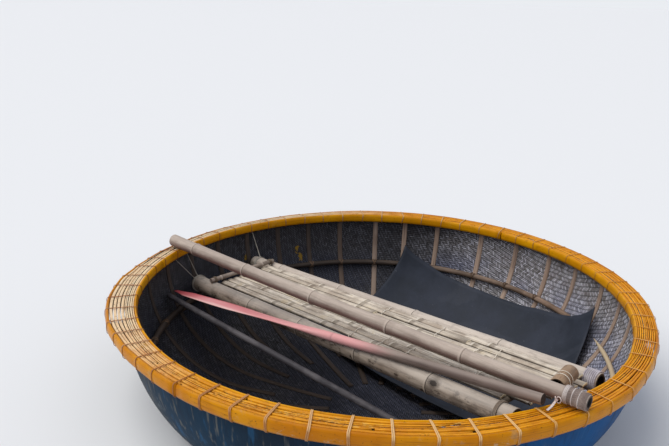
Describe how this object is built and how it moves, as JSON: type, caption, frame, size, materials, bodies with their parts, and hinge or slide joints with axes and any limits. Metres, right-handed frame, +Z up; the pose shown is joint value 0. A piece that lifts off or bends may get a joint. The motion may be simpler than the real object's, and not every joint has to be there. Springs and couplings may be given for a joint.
{
  "type": "round woven basket boat (coracle)",
  "caption": "Round bamboo basket boat with a blue woven hull, a lashed strip rim and a slung slat bench, with its punt pole, paddle and mat aboard.",
  "frame": {"origin": "on the boat's vertical axis at the waterline", "axes": "+Z up, +X along the bench, from its low hung end to the end near the rim's top"},
  "size_m": [2.0015, 2.001, 0.6289],
  "materials": {
    "hull_paint": "painted and tarred weave",
    "rim_bamboo": "satin",
    "rim_fill": "rough",
    "cane": "satin",
    "rib_bamboo": "weathered",
    "pole_brown": "weathered",
    "bench_bamboo": "weathered",
    "slat_bamboo": "weathered",
    "bar_wood": "weathered",
    "punt_bamboo": "satin",
    "cord": "fibrous",
    "blade_paint": "painted",
    "shaft_wood": "weathered",
    "spare_wood": "weathered",
    "mat_rubber": "matt"
  },
  "bodies": {
    "root": {"hull_shell": "hull_paint", "outer_rim_band": "rim_bamboo", "inner_rim_band": "rim_bamboo", "rim_strips": "rim_fill", "rim_lashings": "cane", "ribs": "rib_bamboo", "hoop_pole": "pole_brown", "bench_bearer_near": "bench_bamboo", "bench_bearer_far": "bench_bamboo", "bench_rung_1": "bar_wood", "bench_rung_2": "bar_wood", "bench_rung_3": "bar_wood", "bench_rung_4": "bar_wood", "bench_rung_5": "bar_wood", "bench_slat_1": "slat_bamboo", "bench_slat_2": "slat_bamboo", "bench_slat_3": "slat_bamboo", "bench_slat_4": "slat_bamboo", "bench_slat_5": "slat_bamboo", "bench_slat_6": "slat_bamboo", "bench_slat_7": "slat_bamboo", "bench_slat_8": "slat_bamboo", "bench_slat_9": "slat_bamboo", "bench_cross_bar_left": "bar_wood", "bench_cross_bar_right": "bar_wood", "bench_sling_near_left": "cord", "bench_sling_far_left": "cord", "bench_sling_near_right": "cord", "bench_sling_far_right": "cord", "punt_pole": "punt_bamboo", "punt_pole_twine": "cord", "paddle_blade": "blade_paint", "paddle_shaft": "shaft_wood", "spare_pole": "spare_wood", "floor_mat": "mat_rubber"}
  },
  "joints": []
}
